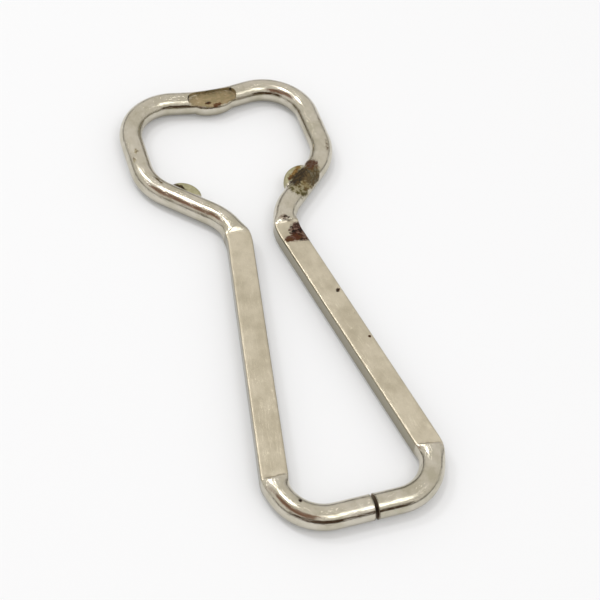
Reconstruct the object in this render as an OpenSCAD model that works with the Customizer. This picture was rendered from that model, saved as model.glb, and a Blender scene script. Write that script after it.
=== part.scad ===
// Key-ring bottle opener, bent from one length of round steel wire.
// It lies flat: +X across, +Y from the key-ring bar to the head, +Z up, with the
// table at Z = 0 and the origin under the middle of its box.
// Each node is one leg or one bend of the wire, as a wire form's bend list has them.

/* [Wire] */
// Diameter of the round wire
wire_d = 3.6; // [2.5:0.1:5]
// Open slit where the two cut ends of the wire meet
butt_gap = 0.5; // [0.2:0.1:2]
// How far the slit lies to the right of the middle of the key-ring bar
butt_shift = 0.6; // [-2:0.1:2]

/* [Outline, on the centre line of the wire] */
// Length over everything, from the key-ring bar to the head
overall_length = 82.5; // [76:0.5:110]
// Width of the handle at its base, where the straight sides would meet the bar
base_span = 24.5; // [21:0.5:34]
// Width at the neck, where the straight sides would meet the shoulders
neck_span = 6.5; // [6:0.1:11]
// Height of the neck above the key-ring bar
neck_height = 51.5; // [42:0.5:56]
// Width of the head
head_span = 29.2; // [27:0.1:36]
// Height of the shoulder corners above the key-ring bar
shoulder_height = 62.4; // [60:0.1:65]
// How far the head bar dips from its corners to its middle
crown_dip = 2.3; // [1:0.1:5]

/* [Bends, radius on the centre line of the wire] */
// Corners of the key-ring bar
base_bend_r = 6.4; // [4:0.1:7.5]
// Neck
neck_bend_r = 8.3; // [6:0.1:9]
// Shoulder corners of the head
shoulder_bend_r = 8; // [6:0.1:9]
// Top corners of the head
head_bend_r = 7.1; // [5:0.1:8]
// Shallow bend in the middle of the head bar
crown_bend_r = 26; // [18:1:34]

/* [Pressed flats of the grip] */
// Width of the pressed section
flat_w = 3.9; // [2.5:0.1:5.5]
// Thickness of the pressed section
flat_t = 2.5; // [1.5:0.1:4.5]
// Rounding of the long edges
flat_edge_r = 0.35; // [0.1:0.05:0.6]

/* [Coined lugs] */
// Radius of the lobe on each shoulder
shoulder_lug_r = 3.2; // [2.6:0.1:3.8]
// Reach of each shoulder lobe from the centre line of the wire
shoulder_lug_reach = 3.5; // [2.6:0.1:4]
// Radius of the lobe in the middle of the head bar
crown_lug_r = 4; // [3:0.1:5]
// Reach of the crown lobe from the centre line of the wire
crown_lug_reach = 2.8; // [2.5:0.1:4]
// Thickness of a lobe
lug_t = 1.4; // [0.8:0.1:2]
// Depth that the die presses into the top of the wire at the crown
crown_press = 0.7; // [0.3:0.1:1.2]

/* [Hidden] */
$fn = 48;
wire_r = wire_d / 2;
bright_nickel = [0.72, 0.70, 0.63];
worn_nickel = [0.66, 0.64, 0.55];
stained_nickel = [0.50, 0.47, 0.36];

// The outline of the right half: the points where its straight legs would meet.
head_slope = atan2(crown_dip, head_span / 2);
head_corner_height = overall_length - wire_d - head_bend_r
                   + head_bend_r / tan((90 - head_slope) / 2);
butt_point = [butt_shift, 0];
base_corner = [base_span / 2, 0];
neck_corner = [neck_span / 2, neck_height];
shoulder_corner = [head_span / 2, shoulder_height];
head_corner = [head_span / 2, head_corner_height];
crown_point = [0, head_corner_height - crown_dip];

// Plane geometry
function unit(v) = v / norm(v);
function heading(from, to) = atan2(to.y - from.y, to.x - from.x);
function left_of(v) = [-v.y, v.x];
// Turn at corner b on the way from a to c, positive to the left
function turn(a, b, c) =
    let (t = heading(b, c) - heading(a, b)) t > 180 ? t - 360 : t < -180 ? t + 360 : t;
// Length that a bend of radius r takes from each straight leg at the corner
function setback(a, b, c, r) = r * tan(abs(turn(a, b, c)) / 2);
function bend_start(a, b, c, r) = b + unit(a - b) * setback(a, b, c, r);
function bend_end(a, b, c, r) = b + unit(c - b) * setback(a, b, c, r);
function bend_centre(a, b, c, r) =
    bend_start(a, b, c, r) + left_of(unit(b - a)) * r * sign(turn(a, b, c));

// The bends, each as its corner between two neighbours and its radius
base_bend = [butt_point, base_corner, neck_corner, base_bend_r];
neck_bend = [base_corner, neck_corner, shoulder_corner, neck_bend_r];
shoulder_bend = [neck_corner, shoulder_corner, head_corner, shoulder_bend_r];
head_bend = [shoulder_corner, head_corner, crown_point, head_bend_r];
function first_end(k) = bend_start(k[0], k[1], k[2], k[3]);
function last_end(k) = bend_end(k[0], k[1], k[2], k[3]);

// The shoulder lug takes the whole straight leg between the neck and the shoulder.
lug_way = unit(shoulder_corner - neck_corner);
lug_centre = (last_end(neck_bend) + first_end(shoulder_bend)) / 2;
lug_length = norm(first_end(shoulder_bend) - last_end(neck_bend));

// The crown lug takes the shallow bend in the middle of the head bar.
crown_end = crown_point + unit(head_corner - crown_point) * crown_bend_r * tan(head_slope);
crown_centre = crown_point + [0, crown_bend_r / cos(head_slope)];
crown_low = crown_centre - [0, crown_bend_r];
crown_rim = 0.4; // round wire left at each end of the pressed place

// Straight leg of round wire from p to q
module leg(p, q) {
    translate([p.x, p.y, wire_r])
        rotate([0, 0, heading(p, q)])
            rotate([0, 90, 0])
                cylinder(d = wire_d, h = norm(q - p));
}

// Round wire bent at the corner that k describes
module bend(k) {
    centre = bend_centre(k[0], k[1], k[2], k[3]);
    swept = turn(k[0], k[1], k[2]);
    translate([centre.x, centre.y, wire_r])
        rotate([0, 0, heading(centre, swept > 0 ? first_end(k) : last_end(k))])
            rotate_extrude(angle = abs(swept))
                translate([k[3], 0]) circle(d = wire_d);
}

// Section of a pressed flat
module flat_section() {
    square([flat_w - 2 * flat_edge_r, flat_t], center = true);
    square([flat_w, flat_t - 2 * flat_edge_r], center = true);
    for (sx = [-1, 1], sy = [-1, 1])
        translate([sx * (flat_w / 2 - flat_edge_r), sy * (flat_t / 2 - flat_edge_r)])
            circle(r = flat_edge_r);
}

// Moves a piece so that the origin lies under the middle of the box
module placed() {
    translate([0, wire_r - overall_length / 2, 0]) children();
}

// The same on the left of the middle line
module placed_left() {
    placed() mirror([1, 0, 0]) children();
}

// Half of the key-ring bar, from its cut end at x = cut_end to the corner bend
module base_bar(cut_end) {
    color(bright_nickel) leg([cut_end, 0], first_end(base_bend));
}

// Corner between the key-ring bar and the grip
module base_corner_bend() {
    color(bright_nickel) bend(base_bend);
}

// One side of the grip, pressed flat above and below
module grip_flat() {
    from = last_end(base_bend);
    to = first_end(neck_bend);
    color(worn_nickel)
        translate([from.x, from.y, wire_r])
            rotate([0, 0, heading(from, to)])
                rotate([90, 0, 90])
                    linear_extrude(height = norm(to - from)) flat_section();
}

// Bend from the grip out into the shoulder
module neck() {
    color(bright_nickel) bend(neck_bend);
}

// Shoulder leg with a thin half-round lobe squeezed out into the head
module shoulder_lug() {
    lobe = lug_centre + left_of(lug_way) * (shoulder_lug_reach - shoulder_lug_r);
    color(stained_nickel) {
        leg(last_end(neck_bend), first_end(shoulder_bend));
        intersection() {
            translate([lobe.x, lobe.y, wire_r - lug_t / 2])
                cylinder(r = shoulder_lug_r, h = lug_t);
            translate([lug_centre.x, lug_centre.y, 0])
                rotate([0, 0, heading(neck_corner, shoulder_corner)])
                    translate([-lug_length / 2, 0, 0]) cube([lug_length, 2 * wire_d, wire_d]);
        }
    }
}

// Bend from the shoulder up into the side of the head
module shoulder() {
    color(bright_nickel) bend(shoulder_bend);
}

// Side of the head
module head_side() {
    color(bright_nickel) leg(last_end(shoulder_bend), first_end(head_bend));
}

// Top corner of the head
module head_corner_bend() {
    color(bright_nickel) bend(head_bend);
}

// Half of the head bar, from the corner to the crown lug
module head_bar() {
    color(bright_nickel) leg(last_end(head_bend), crown_end);
}

// Middle of the head bar: a shallow bend, pressed on top, with a lobe towards the neck
module crown_lug() {
    color(stained_nickel)
        difference() {
            union() {
                translate([0, crown_centre.y, wire_r])
                    rotate([0, 0, -90 - head_slope])
                        rotate_extrude(angle = 2 * head_slope)
                            translate([crown_bend_r, 0]) circle(d = wire_d);
                intersection() {
                    translate([0, crown_low.y - crown_lug_reach + crown_lug_r, wire_r - lug_t / 2])
                        cylinder(r = crown_lug_r, h = lug_t);
                    translate([-crown_end.x, crown_low.y - crown_lug_reach, 0])
                        cube([2 * crown_end.x, crown_lug_reach, wire_d]);
                }
            }
            translate([0, crown_low.y, wire_d - crown_press])
                cylinder(r = crown_end.x - crown_rim, h = wire_d);
        }
}

placed_left() base_bar(butt_gap / 2 - butt_shift);  // base_bar_left
placed() base_bar(butt_gap / 2 + butt_shift);  // base_bar_right
placed_left() base_corner_bend();  // base_bend_left
placed() base_corner_bend();  // base_bend_right
placed_left() grip_flat();  // grip_flat_left
placed() grip_flat();  // grip_flat_right
placed_left() neck();  // neck_bend_left
placed() neck();  // neck_bend_right
placed_left() shoulder_lug();  // shoulder_lug_left
placed() shoulder_lug();  // shoulder_lug_right
placed_left() shoulder();  // shoulder_bend_left
placed() shoulder();  // shoulder_bend_right
placed_left() head_side();  // head_side_left
placed() head_side();  // head_side_right
placed_left() head_corner_bend();  // head_corner_left
placed() head_corner_bend();  // head_corner_right
placed_left() head_bar();  // head_bar_left
placed() head_bar();  // head_bar_right
placed() crown_lug();
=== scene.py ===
# %% [markdown]
# # A key-ring bottle opener, bent from one length of nickel-plated wire
# The real opener is a single piece of round steel wire, 3.6 mm thick. A machine straightens
# it, presses two long flats and three thumbnail lugs into it, and bends it round pins until
# its two cut ends nearly meet. This lesson follows the same order: a straight blank, the
# presses, then the bends. Each leg and each bend is a piece of its own, as in a bend list.

# %% Load the measured frame
import math

import bmesh
import bpy
from mathutils import Matrix, Quaternion, Vector


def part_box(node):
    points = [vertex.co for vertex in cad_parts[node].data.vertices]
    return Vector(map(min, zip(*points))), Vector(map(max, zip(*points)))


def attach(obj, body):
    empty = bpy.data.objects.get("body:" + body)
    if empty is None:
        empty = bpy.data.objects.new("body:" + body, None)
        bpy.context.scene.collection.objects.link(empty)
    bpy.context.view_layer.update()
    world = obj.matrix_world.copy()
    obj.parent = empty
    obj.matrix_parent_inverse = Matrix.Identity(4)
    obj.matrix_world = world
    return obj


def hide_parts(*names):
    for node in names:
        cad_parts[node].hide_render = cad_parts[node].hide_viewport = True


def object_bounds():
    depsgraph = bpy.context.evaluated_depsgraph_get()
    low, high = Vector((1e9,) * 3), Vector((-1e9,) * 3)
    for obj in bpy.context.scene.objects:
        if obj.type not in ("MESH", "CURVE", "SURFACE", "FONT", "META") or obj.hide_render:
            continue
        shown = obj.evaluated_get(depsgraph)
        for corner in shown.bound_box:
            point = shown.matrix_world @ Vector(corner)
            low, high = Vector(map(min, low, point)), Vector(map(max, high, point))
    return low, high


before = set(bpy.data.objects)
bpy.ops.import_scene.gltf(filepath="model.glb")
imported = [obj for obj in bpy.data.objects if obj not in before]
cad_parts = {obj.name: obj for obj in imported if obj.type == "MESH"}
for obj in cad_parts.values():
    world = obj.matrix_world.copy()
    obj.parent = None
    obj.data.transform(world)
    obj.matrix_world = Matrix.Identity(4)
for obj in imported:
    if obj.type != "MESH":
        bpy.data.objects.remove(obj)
cad_box = [[float(n) for n in corner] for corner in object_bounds()]
MM = 0.001
print("frame box, mm:", [[round(n / MM, 2) for n in corner] for corner in cad_box])

# %% [markdown]
# ## The centre line
# A wire form is drawn as straight legs that meet in corners, and a radius for each corner.
# We walk along the right half once and note each leg and bend: its length, where it starts,
# which way it points there, and how it curves. The left half is the mirror image. One number
# S, in millimetres along the wire, then names every place on the whole loop: it starts at
# the middle of the key-ring bar, runs up the right side to the crown and down the left.

# %% Legs and bends of the right half
WIRE_R = 1.8
BASE_SPAN, NECK_SPAN, HEAD_SPAN = 24.5, 6.5, 29.2
NECK_Y, SHOULDER_Y = 51.5, 62.4
BASE_R, NECK_R, SHOULDER_R, HEAD_R, CROWN_R = 6.4, 8.3, 8.0, 7.1, 26.0
CROWN_DIP = 2.3
BUTT_GAP, BUTT_SHIFT = 0.5, 0.6
LENGTH = (cad_box[1][1] - cad_box[0][1]) / MM
BAR_Y = WIRE_R - LENGTH / 2  # the key-ring bar's centre line in the frame

slope = math.atan2(CROWN_DIP, HEAD_SPAN / 2)
corner_y = LENGTH - 2 * WIRE_R - HEAD_R + HEAD_R / math.tan((math.pi / 2 - slope) / 2)
corners = [Vector(p) for p in (
    (0, 0), (BASE_SPAN / 2, 0), (NECK_SPAN / 2, NECK_Y), (HEAD_SPAN / 2, SHOULDER_Y),
    (HEAD_SPAN / 2, corner_y), (0, corner_y - CROWN_DIP), (-HEAD_SPAN / 2, corner_y))]
radii = [BASE_R, NECK_R, SHOULDER_R, HEAD_R, CROWN_R]
walk = []  # length, start point, heading, curvature (1 / radius, positive to the left)


def turn_at(i):
    """Turn at corner i, in radians, positive to the left."""
    into, out = corners[i] - corners[i - 1], corners[i + 1] - corners[i]
    return -into.angle_signed(out)


start = corners[0]
for i, radius in enumerate(radii, 1):
    turn = turn_at(i)
    way = (corners[i] - corners[i - 1]).normalized()
    end = corners[i] - way * radius * math.tan(abs(turn) / 2)
    heading = math.atan2(way.y, way.x)
    walk.append(((end - start).length, start, heading, 0.0))
    walk.append((radius * abs(turn), end, heading, math.copysign(1 / radius, turn)))
    out = (corners[i + 1] - corners[i]).normalized()
    start = corners[i] + out * radius * math.tan(abs(turn) / 2)
walk[-1] = (walk[-1][0] / 2,) + walk[-1][1:]  # the crown bend belongs half to each side
marks = [0.0]
for part in walk:
    marks.append(marks[-1] + part[0])
HALF = marks[-1]
print("marks along the right half, mm:", [round(m, 2) for m in marks])


# %% A place on the loop
def on_wire(s, w, h):
    """Frame position, in metres, of the point w mm inwards of and h mm above the centre line."""
    side = 1.0 if s <= HALF else -1.0
    s = s if s <= HALF else 2 * HALF - s
    k = max(n for n in range(len(walk)) if marks[n] <= s or n == 0)
    _, begin, heading, curve = walk[k]
    ahead = s - marks[k]
    if curve:
        radius = 1 / curve
        centre = begin + radius * Vector((-math.sin(heading), math.cos(heading)))
        heading += ahead * curve
        spot = centre - (radius - w) * Vector((-math.sin(heading), math.cos(heading)))
    else:
        spot = begin + ahead * Vector((math.cos(heading), math.sin(heading)))
        spot += w * Vector((-math.sin(heading), math.cos(heading)))
    return Vector((side * spot.x, spot.y + BAR_Y, WIRE_R + h)) * MM


names = ["base_bar", "base_bend", "grip_flat", "neck_bend", "shoulder_lug",
         "shoulder_bend", "head_side", "head_corner", "head_bar"]
spans = {}
for k, name in enumerate(names):
    first = marks[k] if k else BUTT_GAP / 2 + BUTT_SHIFT
    spans[name + "_right"] = (first, marks[k + 1])
    first = marks[k] if k else BUTT_GAP / 2 - BUTT_SHIFT
    spans[name + "_left"] = (2 * HALF - marks[k + 1], 2 * HALF - first)
spans["crown_lug"] = (marks[-2], 2 * HALF - marks[-2])
for name, (s0, s1) in spans.items():
    low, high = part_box(name)
    for s in (s0, s1):
        p = on_wire(s, 0, 0)
        out = max(max(low[i] - p[i], p[i] - high[i], 0) for i in (0, 1, 2))
        assert out < 0.05 * MM, (name, s, out)
print(len(spans), "pieces, each with both ends inside its measured box")

# %% [markdown]
# ## The camera
# A long lens close to the table, looking down at about 52 degrees over the key-ring end. The
# small roll about the line of sight leans the opener in the frame.

# %% Camera
EYE = Vector((-51.99, -123.28, 167.70)) * MM
AIM = Vector((1.72, -4.00, 1.80)) * MM
ROLL = math.radians(8.236)
camera_data = bpy.data.cameras.new("camera")
camera_data.lens, camera_data.sensor_width = 86.48, 36
camera_data.clip_start, camera_data.clip_end = 0.01, 20
camera = bpy.data.objects.new("camera", camera_data)
bpy.context.scene.collection.objects.link(camera)
camera.location = EYE
camera.rotation_mode = "QUATERNION"
camera.rotation_quaternion = ((AIM - EYE).to_track_quat("-Z", "Y")
                              @ Quaternion((0, 0, 1), ROLL))
bpy.context.scene.camera = camera
print("camera right axis:", camera.rotation_quaternion @ Vector((1, 0, 0)))

# %% [markdown]
# ## The straight blank
# A length of drawn wire is a circle pulled out along a line. One extrusion makes it, and one
# subdivision cuts it into rings that the presses and bends can move. The ring next to each
# end lies very close to it, so the shading runs on from piece to piece without a seam.

# %% Blank
SECTORS = 64
RING_STEP = 0.16  # mm between rings
END_BAND = 0.03   # mm


def is_vert(item):
    return isinstance(item, bmesh.types.BMVert)


def blank(s0, s1):
    """Straight round wire from S = s0 to s1: X is S, Y is w and Z is h, in mm."""
    bm = bmesh.new()
    stand = Matrix.Translation((s0, 0, 0)) @ Matrix(((0, 0, 1, 0), (1, 0, 0, 0),
                                                    (0, 1, 0, 0), (0, 0, 0, 1)))
    bmesh.ops.create_circle(bm, cap_ends=False, segments=SECTORS, radius=WIRE_R, matrix=stand)
    pulled = bmesh.ops.extrude_edge_only(bm, edges=bm.edges[:])["geom"]
    bmesh.ops.translate(bm, vec=(s1 - s0, 0, 0), verts=[v for v in pulled if is_vert(v)])
    along = [e for e in bm.edges if abs(e.verts[0].co.x - e.verts[1].co.x) > 1e-6]
    rings = max(4, round((s1 - s0) / RING_STEP))
    bmesh.ops.subdivide_edges(bm, edges=along, cuts=rings - 1, use_grid_fill=True)
    step = (s1 - s0) / rings
    for v in bm.verts:
        if abs(v.co.x - s0 - step) < step / 4:
            v.co.x = s0 + END_BAND
        elif abs(v.co.x - s1 + step) < step / 4:
            v.co.x = s1 - END_BAND
    return bm


def close_ends(bm):
    """Caps both ends, and returns the rim edges of the caps."""
    rims = [e for e in bm.edges if e.is_boundary]
    bmesh.ops.holes_fill(bm, edges=rims, sides=0)
    return rims


# %% [markdown]
# ## Pressing the grip flats
# Two dies squeeze the round wire to 2.5 mm, and the metal spreads to 3.9 mm across. Each
# ring of the blank slides from its circle to a rectangle with tight corners. Past the ends
# of the flat the die rises as a slanted plane, so it leaves a crescent-shaped step: there a
# point keeps its round height until the plane is lower.

# %% Flats
FLAT_HALF_W, FLAT_HALF_T, FLAT_EDGE = 1.90, 1.25, 0.28
SPREAD = 2.4  # mm over which the width goes back to round
# Per side: where the flat starts and ends along its half, the slant of those two edges per
# mm inwards, and how steeply the die rises past them
GRIP = {1: (marks[2] - 0.66, marks[3] + 2.2, 0.27, -0.10, 1.30, 1.30),
        -1: (marks[2] - 0.30, marks[3] + 2.0, 0.12, -0.21, 1.30, 0.60)}


def flat_outline(turn_part):
    """The pressed section at ring position 0 to 64: 8 steps a side, 16 a face, 4 a corner."""
    i = turn_part % SECTORS
    up = 1 if i <= 32 else -1
    i = i if i <= 32 else SECTORS - i
    inward = 1 if i <= 16 else -1
    i = i if i <= 16 else 32 - i
    flat_w, flat_h = FLAT_HALF_W - FLAT_EDGE, FLAT_HALF_T - FLAT_EDGE
    if i <= 4:
        w, h = FLAT_HALF_W, flat_h * i / 4
    elif i <= 8:
        a = (i - 4) / 4 * math.pi / 2
        w, h = flat_w + FLAT_EDGE * math.cos(a), flat_h + FLAT_EDGE * math.sin(a)
    else:
        w, h = flat_w * (16 - i) / 8, FLAT_HALF_T
    return inward * w, up * h


def smooth(t):
    t = min(max(t, 0.0), 1.0)
    return t * t * (3 - 2 * t)


def press_grip(bm):
    """Presses whatever part of the two grip flats lies in this blank."""
    moved = 0
    for v in bm.verts:
        s, w, h = v.co
        side = 1 if s <= HALF else -1
        along = s if side > 0 else 2 * HALF - s
        low, high, low_slant, high_slant, low_rise, high_rise = GRIP[side]
        past_low = low + low_slant * w - along
        past_high = along - high - high_slant * w
        past = max(past_low, past_high, 0)
        if past > 3:
            continue
        part = math.atan2(h, w) / (2 * math.pi) * SECTORS
        flat_w, flat_h = flat_outline(part)
        pull = 1 - smooth(past / SPREAD)
        die = FLAT_HALF_T + max(past_low * low_rise, past_high * high_rise, 0)
        v.co.y = w + (flat_w - w) * pull
        if abs(abs(part) - 16) <= 8.01:
            v.co.z = math.copysign(min(abs(h), die), h)
        else:
            v.co.z = h + (flat_h - h) * pull
        moved += 1
    return moved


# %% [markdown]
# ## Lugs
# A half-round die nips each shoulder and squeezes a thumbnail of metal out into the head.
# It is a disc: a circle filled, extruded to its thickness, its rim rounded with a bevel, and
# joined to the wire with a Boolean, as the pressed metal is one with it. The crown is nipped
# from above by a punch with round ends, whose print is cut out of the wire the same way.

# %% Disc and Boolean helpers
def disc(centre, size, thick, rim, stretch=0.0, tilt=0.0):
    """Rounded disc with its middle at centre: size is its two radii along S and w."""
    bm = bmesh.new()
    bmesh.ops.create_circle(bm, cap_ends=True, segments=48, radius=1.0)
    bmesh.ops.scale(bm, vec=(size[0], size[1], 1), verts=bm.verts[:])
    for v in bm.verts:
        v.co.x += math.copysign(stretch, v.co.x) if abs(v.co.x) > 1e-4 else 0
    top = bmesh.ops.extrude_face_region(bm, geom=bm.faces[:])["geom"]
    bmesh.ops.translate(bm, vec=(0, 0, thick), verts=[v for v in top if is_vert(v)])
    edges = [e for e in bm.edges if abs(e.verts[0].co.z - e.verts[1].co.z) < 1e-6]
    bmesh.ops.bevel(bm, geom=edges, offset=rim, offset_type="OFFSET", affect="EDGES",
                    segments=4, profile=0.5, material=-1)
    bmesh.ops.translate(bm, vec=(0, 0, -thick / 2), verts=bm.verts[:])
    bmesh.ops.rotate(bm, matrix=Matrix.Rotation(tilt, 3, "X"), verts=bm.verts[:])
    bmesh.ops.translate(bm, vec=centre, verts=bm.verts[:])
    bmesh.ops.recalc_face_normals(bm, faces=bm.faces[:])
    return bm


def as_object(bm, name):
    mesh = bpy.data.meshes.new(name)
    bm.to_mesh(mesh)
    made = bpy.data.objects.new(name, mesh)
    bpy.context.scene.collection.objects.link(made)
    return made


def combine(bm, tool, how):
    """Joins the tool to bm, or cuts it out, and returns the result."""
    bmesh.ops.recalc_face_normals(bm, faces=bm.faces[:])
    work, cutter = as_object(bm, "work"), as_object(tool, "cutter")
    modifier = work.modifiers.new("nip", "BOOLEAN")
    modifier.operation, modifier.solver, modifier.object = how, "EXACT", cutter
    result = bmesh.new()
    result.from_object(work, bpy.context.evaluated_depsgraph_get())
    for made in (work, cutter):
        mesh = made.data
        bpy.data.objects.remove(made)
        bpy.data.meshes.remove(mesh)
    return result


# %% Right and left shoulder lugs, and the crown
PRINT_H = 0.95  # height of the crown's print above the centre line


def nip_shoulder_right(bm):
    middle = marks[4] + 4.2
    return combine(bm, disc((middle, 0.75, 0.05), (3.0, 2.45), 1.8, 0.6), "UNION")


def nip_shoulder_left(bm):
    middle = 2 * HALF - marks[4] - 5.3
    return combine(bm, disc((middle, 1.2, 0.0), (2.75, 2.2), 1.3, 0.5), "UNION")


def nip_crown(bm):
    bm = combine(bm, disc((HALF - 0.2, 0.55, -0.15), (3.7, 1.85), 2.6, 0.9), "UNION")
    punch = disc((HALF - 0.05, 0.66, PRINT_H + 1.5), (1.9, 1.5), 3.0, 0.12, 2.05)
    return combine(bm, punch, "DIFFERENCE")


NIPS = {"shoulder_lug_right": nip_shoulder_right, "shoulder_lug_left": nip_shoulder_left,
        "crown_lug": nip_crown}

# %% [markdown]
# ## Bending, piece by piece
# With the presses done, every point still knows its place along and across the straight
# wire. We keep that place as an attribute, so that scratches and stains can follow the wire
# round its bends, and then move the point to where the bend takes it.

# %% Where a die touched
def pressed_there(s, w, h):
    """How far a point lies on a pressed face, and on the side wall next to one, 0 to 1."""
    if abs(s - HALF) < 4.5:
        return (1.0 if abs(h - PRINT_H) < 0.05 else 0.0), 0.0
    side = 1 if s <= HALF else -1
    along = s if side > 0 else 2 * HALF - s
    low, high, low_slant, high_slant, _, _ = GRIP[side]
    past = max(low + low_slant * w - along, along - high - high_slant * w, 0)
    on = 1 - smooth(past / 0.25)
    return (on, 0.0) if abs(h) > FLAT_HALF_T - FLAT_EDGE / 2 else (0.0, on)


# %% Make the 19 pieces
SHARP = math.radians(38)
BUTT_CHAMFER = 0.15
pieces = {}
for name, (s0, s1) in spans.items():
    bm = blank(s0, s1)
    rims = close_ends(bm)
    press_grip(bm)
    if name.startswith("base_bar"):
        butt = s0 if name.endswith("right") else s1
        rim = [e for e in rims if all(abs(v.co.x - butt) < 1e-4 for v in e.verts)]
        bmesh.ops.bevel(bm, geom=rim, offset=BUTT_CHAMFER, offset_type="OFFSET",
                        affect="EDGES", segments=3, profile=0.5, material=-1)
    if name in NIPS:
        bm = NIPS[name](bm)
    bmesh.ops.triangulate(bm, faces=[f for f in bm.faces if len(f.verts) > 4])
    straight = bm.verts.layers.float_vector.new("wire")
    face_of, wall_of = bm.verts.layers.float.new("face"), bm.verts.layers.float.new("wall")
    for v in bm.verts:
        v[straight] = v.co
        v[face_of], v[wall_of] = pressed_there(*v.co)
        v.co = on_wire(*v.co)
    bmesh.ops.recalc_face_normals(bm, faces=bm.faces[:])
    for face in bm.faces:
        face.smooth = True
    for edge in bm.edges:
        edge.smooth = len(edge.link_faces) == 2 and edge.calc_face_angle() < SHARP
    pieces[name] = as_object(bm, name + "_wire")
    bm.free()
print(len(pieces), "pieces,", sum(len(p.data.polygons) for p in pieces.values()), "faces")

# %% [markdown]
# ## Nickel plate
# Plated nickel is a warm, slightly yellow silver. Years in a pocket leave it polished on
# the outside of its curves, hazy elsewhere, with fine marks along the wire, pin-prick pits
# where the steel has come through, and olive and rust-brown stain where it was nipped.

# %% Node helper and colours
def linear(code):
    """sRGB hex to a linear RGBA colour."""
    parts = [int(code[i:i + 2], 16) / 255 for i in (1, 3, 5)]
    return tuple(c / 12.92 if c <= 0.04045 else ((c + 0.055) / 1.055) ** 2.4
                 for c in parts) + (1.0,)


def add(tree, kind, settings=None, links=None):
    """Adds one node: settings are its own values, links are its sockets' values or sources."""
    made = tree.nodes.new(kind)
    for key, value in (settings or {}).items():
        setattr(made, key, value)
    for key, value in (links or {}).items():
        if isinstance(value, bpy.types.NodeSocket):
            tree.links.new(value, made.inputs[key])
        else:
            made.inputs[key].default_value = value
    return made


# %% Stains
def right(s, w, h):
    return (s, w, h)


def left(s, w, h):
    return (2 * HALF - s, w, h)


# Each stain: its middle and its reach in mm along, across and above the wire, its two
# tints, how ragged its edge is in mm, and how much of it is broken up by bare metal
RUST, UMBER, OLIVE, SOOT = "#4E1E10", "#5A3C22", "#7C7240", "#1C130B"
MOSS, PLUM, SAND = "#A5A180", "#54392F", "#8F8260"
STAINS = [
    (right(55.9, -1.7, 1.2), (2.4, 2.1, 2.0), RUST, SOOT, 1.0, 0.25),
    (right(55.0, 0.2, 1.2), (0.8, 1.6, 2.0), RUST, UMBER, 0.8, 0.20),
    (right(65.7, -0.4, 1.5), (1.7, 2.0, 2.0), OLIVE, "#5E5636", 0.9, 0.40),
    (right(68.4, 3.2, 0.4), (3.7, 2.3, 2.2), MOSS, "#B4AF90", 0.5, 0.05),
    (right(68.6, 2.0, 1.0), (2.1, 0.40, 1.2), "#8A6A34", UMBER, 0.5, 0.15),
    (right(68.6, -0.3, 1.5), (3.0, 2.3, 2.0), "#8E8058", "#6E5838", 0.9, 0.30),
    (right(67.7, 0.7, 1.5), (2.5, 1.3, 1.8), "#20160E", "#54452A", 1.0, 0.15),
    (right(69.0, -0.8, 1.4), (1.9, 1.6, 2.0), "#1C130C", "#6A5A3E", 1.3, 0.45),
    (right(71.0, 0.4, 1.6), (1.2, 1.1, 1.4), PLUM, UMBER, 0.8, 0.20),
    (left(69.4, 2.9, 0.4), (3.0, 1.6, 1.6), MOSS, "#B4AF90", 0.4, 0.05),
    (left(70.8, 1.75, 0.85), (1.5, 0.55, 0.7), "#4A3A20", SOOT, 0.3, 0.15),
    (left(67.3, 2.9, 0.8), (0.6, 0.45, 0.6), UMBER, OLIVE, 0.3, 0.15),
    (left(73.9, 0.35, 1.75), (1.3, 0.26, 0.6), "#4A3E28", "#6E6044", 0.3, 0.30),
    (right(102.9, 0.7, PRINT_H), (4.6, 2.2, 0.22), SAND, "#A39272", 0.3, 0.10),
    (left(102.5, 1.3, 1.1), (0.55, 0.35, 0.6), UMBER, SOOT, 0.5, 0.10),
    (right(102.7, 1.9, 0.8), (0.9, 0.40, 0.7), "#6A4A32", UMBER, 0.5, 0.10),
    (right(103.0, -1.0, 1.4), (3.0, 0.18, 0.30), "#4A3F28", SOOT, 0.25, 0.10),
    (right(99.7, 0.1, 1.5), (0.20, 0.9, 0.5), "#4A3F28", SOOT, 0.2, 0.10),
    (left(101.0, 2.1, 0.9), (1.2, 0.16, 0.4), "#3E3220", SOOT, 0.15, 0.10),
    (left(99.5, 0.3, 1.4), (0.20, 0.9, 0.5), "#3E3220", SOOT, 0.15, 0.10),
    (right(58.9, 0.3, 1.6), (0.5, 0.9, 0.6), UMBER, SOOT, 0.4, 0.40),
    (left(10.0, 0.6, 1.7), (0.35, 0.30, 0.5), SOOT, UMBER, 0.15, 0.0),
    (left(81.0, -0.2, 1.8), (0.55, 0.30, 0.5), OLIVE, UMBER, 0.5, 0.45),
    (left(79.4, -0.9, 1.5), (0.50, 0.25, 0.5), OLIVE, UMBER, 0.5, 0.45),
    (right(76.0, -0.8, 1.6), (1.3, 0.50, 0.5), OLIVE, UMBER, 0.6, 0.75),
    (right(81.5, -0.9, 1.5), (1.8, 0.40, 0.5), OLIVE, UMBER, 0.6, 0.80),
    (right(34.2, -1.3, 1.2), (0.28, 0.22, 0.5), SOOT, UMBER, 0.15, 0.0),
    (right(43.5, -1.2, 1.2), (0.40, 0.35, 0.5), UMBER, SOOT, 0.3, 0.30),
    (right(0.6, 0.0, 0.0), (0.34, 4.0, 4.0), "#8A7860", UMBER, 0.02, 0.0),
]
STAIN_ROUGH, STAIN_METAL = 0.60, 0.80


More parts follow.
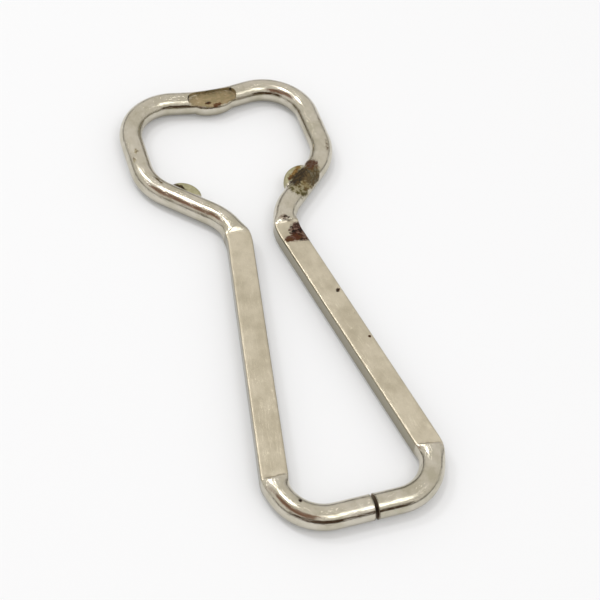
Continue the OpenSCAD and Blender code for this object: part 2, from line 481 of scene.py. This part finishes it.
def lay_stains(tree, place, colour, rough, metal, stains):
    """Lays each stain over the colour, roughness and metal so far."""
    ragged = add(tree, "ShaderNodeTexNoise", {},
                 {"Vector": place, "Scale": 1 / 0.6, "Detail": 8.0, "Roughness": 0.80})
    fine = add(tree, "ShaderNodeTexNoise", {},
               {"Vector": place, "Scale": 1 / 0.60, "Detail": 4.0, "Roughness": 0.70})
    for middle, reach, tint, second, rag, broken in stains:
        centred = add(tree, "ShaderNodeVectorMath", {"operation": "MULTIPLY_ADD"},
                      {0: ragged.outputs["Color"], 1: (4 * rag,) * 3,
                       2: tuple(-m - 2 * rag for m in middle)})
        moved = add(tree, "ShaderNodeVectorMath", {"operation": "ADD"},
                    {0: place, 1: centred.outputs[0]})
        scaled = add(tree, "ShaderNodeVectorMath", {"operation": "DIVIDE"},
                     {0: moved.outputs[0], 1: reach})
        far = add(tree, "ShaderNodeVectorMath", {"operation": "LENGTH"},
                  {0: scaled.outputs[0]})
        inside = add(tree, "ShaderNodeMapRange", {"interpolation_type": "SMOOTHSTEP"},
                     {"Value": far.outputs["Value"], "From Min": 1.0, "From Max": 0.8,
                      "To Min": 0.0, "To Max": 1.0})
        kept = add(tree, "ShaderNodeMapRange", {},
                   {"Value": fine.outputs["Fac"], "From Min": 0.36 + 0.2 * broken,
                    "From Max": 0.46 + 0.2 * broken, "To Min": 1 - broken, "To Max": 1.0})
        mask = add(tree, "ShaderNodeMath", {"operation": "MULTIPLY"},
                   {0: inside.outputs[0], 1: kept.outputs[0]}).outputs[0]
        between = add(tree, "ShaderNodeMapRange", {},
                      {"Value": fine.outputs["Fac"], "From Min": 0.46, "From Max": 0.56})
        tinted = add(tree, "ShaderNodeMix", {"data_type": "RGBA"},
                     {"Factor": between.outputs[0], 6: linear(tint), 7: linear(second)})
        colour = add(tree, "ShaderNodeMix", {"data_type": "RGBA"},
                     {"Factor": mask, 6: colour, 7: tinted.outputs[2]}).outputs[2]
        rough = add(tree, "ShaderNodeMix", {"data_type": "FLOAT"},
                    {"Factor": mask, 2: rough, 3: STAIN_ROUGH}).outputs[0]
        metal = add(tree, "ShaderNodeMix", {"data_type": "FLOAT"},
                    {"Factor": mask, 2: metal, 3: STAIN_METAL}).outputs[0]
    return colour, rough, metal


# %% The plated finish
WIRE_BRIGHT, WIRE_HAZE = linear("#D0CABC"), linear("#BCB6A3")
FACE_BRIGHT, FACE_HAZE = linear("#D2C9B5"), linear("#BDB49F")
# The first two tints are painted shade, on the flats' side walls and on the wire's underside;
# the third is the pits' own colour.
WALL_SHADE_TINT, UNDERSIDE_SHADE_TINT, PIT_TINT = linear("#98927F"), linear("#8A8471"), linear("#5E503E")


def mixed(tree, factor, first, second, kind="RGBA"):
    """Mixes two colours, or two numbers."""
    a, b, out = (6, 7, 2) if kind == "RGBA" else (2, 3, 0)
    return add(tree, "ShaderNodeMix", {"data_type": kind},
               {"Factor": factor, a: first, b: second}).outputs[out]


def nickel(name, stains):
    """Aged nickel plate: clouds of haze, drawing marks, pits, satin where dies pressed it, and
    painted shade on the flats' walls and the wire's underside.
    """
    material = bpy.data.materials.new(name)
    material.use_nodes = True
    tree = material.node_tree
    shader = tree.nodes["Principled BSDF"]
    place = add(tree, "ShaderNodeAttribute", {"attribute_name": "wire"}).outputs["Vector"]
    face = add(tree, "ShaderNodeAttribute", {"attribute_name": "face"}).outputs["Fac"]
    wall = add(tree, "ShaderNodeAttribute", {"attribute_name": "wall"}).outputs["Fac"]
    clouds = add(tree, "ShaderNodeTexNoise", {},
                 {"Vector": place, "Scale": 1 / 3.0, "Detail": 6.0, "Roughness": 0.62})
    haze = add(tree, "ShaderNodeMapRange", {},
               {"Value": clouds.outputs["Fac"], "From Min": 0.38, "From Max": 0.66}).outputs[0]
    plate = mixed(tree, haze, WIRE_BRIGHT, WIRE_HAZE)
    pressed = mixed(tree, haze, FACE_BRIGHT, FACE_HAZE)
    colour = mixed(tree, face, plate, pressed)
    # Painted shade: the side walls of the flats are darkened.
    colour = mixed(tree, wall, colour, WALL_SHADE_TINT)
    # Painted shade: darker towards the underside, where the wire lies on the table.
    height = add(tree, "ShaderNodeSeparateXYZ", {}, {0: place}).outputs["Z"]
    underside_shade = add(tree, "ShaderNodeMapRange", {"interpolation_type": "SMOOTHSTEP"},
                {"Value": height, "From Min": 0.3, "From Max": -1.2,
                 "To Min": 0.0, "To Max": 0.75}).outputs[0]
    colour = mixed(tree, underside_shade, colour, UNDERSIDE_SHADE_TINT)
    # Drawing marks: 0.2 mm across and some 5 mm long
    stretched = add(tree, "ShaderNodeMapping", {"vector_type": "POINT"},
                    {"Vector": place, "Scale": (0.2, 5.0, 5.0)})
    drawn = add(tree, "ShaderNodeTexNoise", {},
                {"Vector": stretched.outputs[0], "Scale": 1.0, "Detail": 3.0}).outputs["Fac"]
    plate_rough = add(tree, "ShaderNodeMapRange", {},
                      {"Value": drawn, "From Min": 0.3, "From Max": 0.75,
                       "To Min": 0.09, "To Max": 0.22}).outputs[0]
    rough = mixed(tree, face, plate_rough, 0.36, "FLOAT")
    grain = add(tree, "ShaderNodeTexNoise", {},
                {"Vector": place, "Scale": 1 / 0.42, "Detail": 5.0, "Roughness": 0.65})
    pit = add(tree, "ShaderNodeMapRange", {},
              {"Value": grain.outputs["Fac"], "From Min": 0.70, "From Max": 0.76}).outputs[0]
    # Fine scuffs across the faces, 0.1 mm wide and a few millimetres long
    crossed = add(tree, "ShaderNodeMapping", {"vector_type": "POINT"},
                  {"Vector": place, "Rotation": (0.0, 0.0, 0.9), "Scale": (0.5, 5.5, 1.0)})
    scuffs = add(tree, "ShaderNodeTexNoise", {},
                 {"Vector": crossed.outputs[0], "Scale": 1.0, "Detail": 5.0,
                  "Roughness": 0.7})
    scuff = add(tree, "ShaderNodeMapRange", {},
                {"Value": scuffs.outputs["Fac"], "From Min": 0.56, "From Max": 0.62}).outputs[0]
    colour = mixed(tree, pit, colour, PIT_TINT)
    rough = mixed(tree, pit, rough, STAIN_ROUGH, "FLOAT")
    colour, rough, metal = lay_stains(tree, place, colour, rough, 1.0, stains)
    dents = add(tree, "ShaderNodeTexNoise", {},
                {"Vector": place, "Scale": 1 / 2.2, "Detail": 2.0})
    dented = add(tree, "ShaderNodeBump", {},
                 {"Height": dents.outputs["Fac"], "Distance": 0.00006, "Strength": 0.6})
    grained = add(tree, "ShaderNodeBump", {},
                  {"Height": grain.outputs["Fac"], "Distance": 0.000025, "Strength": 0.7,
                   "Normal": dented.outputs[0]})
    marked = add(tree, "ShaderNodeBump", {},
                 {"Height": drawn, "Distance": 0.000010, "Strength": 0.6,
                  "Normal": grained.outputs[0]})
    tree.links.new(colour, shader.inputs["Base Color"])
    tree.links.new(rough, shader.inputs["Roughness"])
    scuffed = add(tree, "ShaderNodeBump", {"invert": True},
                  {"Height": scuff, "Distance": 0.000012, "Strength": 0.5,
                   "Normal": marked.outputs[0]})
    tree.links.new(scuffed.outputs[0], shader.inputs["Normal"])
    if isinstance(metal, bpy.types.NodeSocket):
        tree.links.new(metal, shader.inputs["Metallic"])
    else:
        shader.inputs["Metallic"].default_value = metal
    return material


for name, piece in pieces.items():
    s0, s1 = spans[name]
    near = [st for st in STAINS
            if st[0][0] + st[1][0] + st[4] > s0 and st[0][0] - st[1][0] - st[4] < s1]
    if name.endswith("bar_left") and name.startswith("base"):
        slit = STAINS[-1]
        near.append(((2 * HALF - slit[0][0] + 2 * BUTT_SHIFT,) + slit[0][1:],) + slit[1:])
    if name.startswith("grip_flat"):
        slot = "pressed_nickel"
    else:
        slot = "stained_nickel" if "lug" in name else "nickel_plate"
    piece.data.materials.append(nickel(slot + "_" + name, near))
    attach(piece, "root")
    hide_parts(name)
print(len(pieces), "pieces have their finish")

# %% [markdown]
# ## Table and light
# The opener lies on a white sweep. A chrome-like wire shows nothing but what it reflects, so
# the light is a scene of its own: a bright soft panel overhead and in front to the right,
# and a dark figure where somebody stands over the table.

# %% Floor
def card(name, size, where, toward, material):
    """A flat card of that size, facing a point: part of the set."""
    bm = bmesh.new()
    bmesh.ops.create_grid(bm, x_segments=1, y_segments=1, size=0.5)
    bmesh.ops.scale(bm, vec=(size[0], size[1], 1), verts=bm.verts[:])
    spin = (Vector(toward) - Vector(where)).to_track_quat("Z", "Y").to_matrix().to_4x4()
    bmesh.ops.transform(bm, matrix=Matrix.Translation(where) @ spin, verts=bm.verts[:])
    made = as_object(bm, name)
    bm.free()
    made.data.materials.append(material)
    return made


def plain(name, colour, glow=0.0):
    """Paper or cloth of the set: matt, and lit a little for the eye only if glow is set."""
    material = bpy.data.materials.new(name)
    material.use_nodes = True
    tree = material.node_tree
    shader = tree.nodes["Principled BSDF"]
    shader.inputs["Base Color"].default_value = linear(colour)
    shader.inputs["Roughness"].default_value = 0.9
    shader.inputs["Specular IOR Level"].default_value = 0.1
    if glow:
        path = add(tree, "ShaderNodeLightPath")
        seen = add(tree, "ShaderNodeMath", {"operation": "MAXIMUM"},
                   {0: path.outputs["Is Camera Ray"], 1: path.outputs["Is Glossy Ray"]})
        seen = add(tree, "ShaderNodeMath", {"operation": "MAXIMUM"},
                   {0: seen.outputs[0], 1: path.outputs["Is Transmission Ray"]})
        lift = add(tree, "ShaderNodeMath", {"operation": "MULTIPLY"},
                   {0: seen.outputs[0], 1: glow})
        shader.inputs["Emission Color"].default_value = linear("#FFFDFA")
        tree.links.new(lift.outputs[0], shader.inputs["Emission Strength"])
    return material


floor = card("table", (3, 3), (0, 0, -0.00002), (0, 0, 1), plain("white_sweep", "#E5E7EB", 0.10))

# %% Light
world = bpy.data.worlds.new("room")
bpy.context.scene.world = world
world.use_nodes = True
tree = world.node_tree
path = add(tree, "ShaderNodeLightPath")
room = tree.nodes["Background"]
room.inputs["Color"].default_value = linear("#F2EFEA")
room.inputs["Strength"].default_value = 0.80
backdrop = add(tree, "ShaderNodeBackground", {}, {"Color": linear("#F7F7F6"), "Strength": 1.0})
choose = add(tree, "ShaderNodeMixShader", {}, {0: path.outputs["Is Camera Ray"],
                                               1: room.outputs[0], 2: backdrop.outputs[0]})
tree.links.new(choose.outputs[0], tree.nodes["World Output"].inputs["Surface"])
way = add(tree, "ShaderNodeSeparateXYZ", {},
          {0: add(tree, "ShaderNodeTexCoord").outputs["Generated"]})
rise = add(tree, "ShaderNodeMapRange", {"interpolation_type": "SMOOTHSTEP"},
           {"Value": way.outputs["Z"], "From Min": 0.02, "From Max": 0.30,
            "To Min": 0.20, "To Max": 0.93})
tree.links.new(rise.outputs[0], room.inputs["Strength"])


def panel(name, where, size, power, colour="#FFFFFF"):
    """A soft box that faces the opener."""
    light = bpy.data.lights.new(name, "AREA")
    light.shape, light.size, light.size_y = "RECTANGLE", size[0], size[1]
    light.energy, light.color = power, linear(colour)[:3]
    made = bpy.data.objects.new(name, light)
    bpy.context.scene.collection.objects.link(made)
    made.location = where
    made.rotation_mode = "QUATERNION"
    made.rotation_quaternion = Vector(where).to_track_quat("Z", "Y")
    return made


panel("overhead", (-0.17, 0.17, 0.78), (0.11, 0.11), 0.8)
panel("back_left", (-0.35, 0.41, 0.68), (0.13, 0.13), 0.8)
panel("front_right", (0.21, -0.44, 0.80), (0.42, 0.36), 1.0)
dark, warm = plain("dark_cloth", "#54402F"), plain("warm_cloth", "#A58270")
for name, size, where, cloth in (
        ("figure_waist", (1.5, 0.42), (-0.22, -0.75, 0.22), dark),
        ("figure_shoulder", (0.50, 0.45), (-0.60, -0.10, 0.66), warm),
        ("figure_chest", (0.60, 0.55), (-0.42, -0.40, 0.68), warm)):
    figure = card(name, size, where, (0, 0, 0), cloth)
    figure.visible_camera = False
    figure.visible_diffuse = False
    figure.visible_shadow = False
print("light is set")

# %% Finish
bpy.context.scene.view_settings.view_transform = "Standard"
bpy.context.view_layer.update()
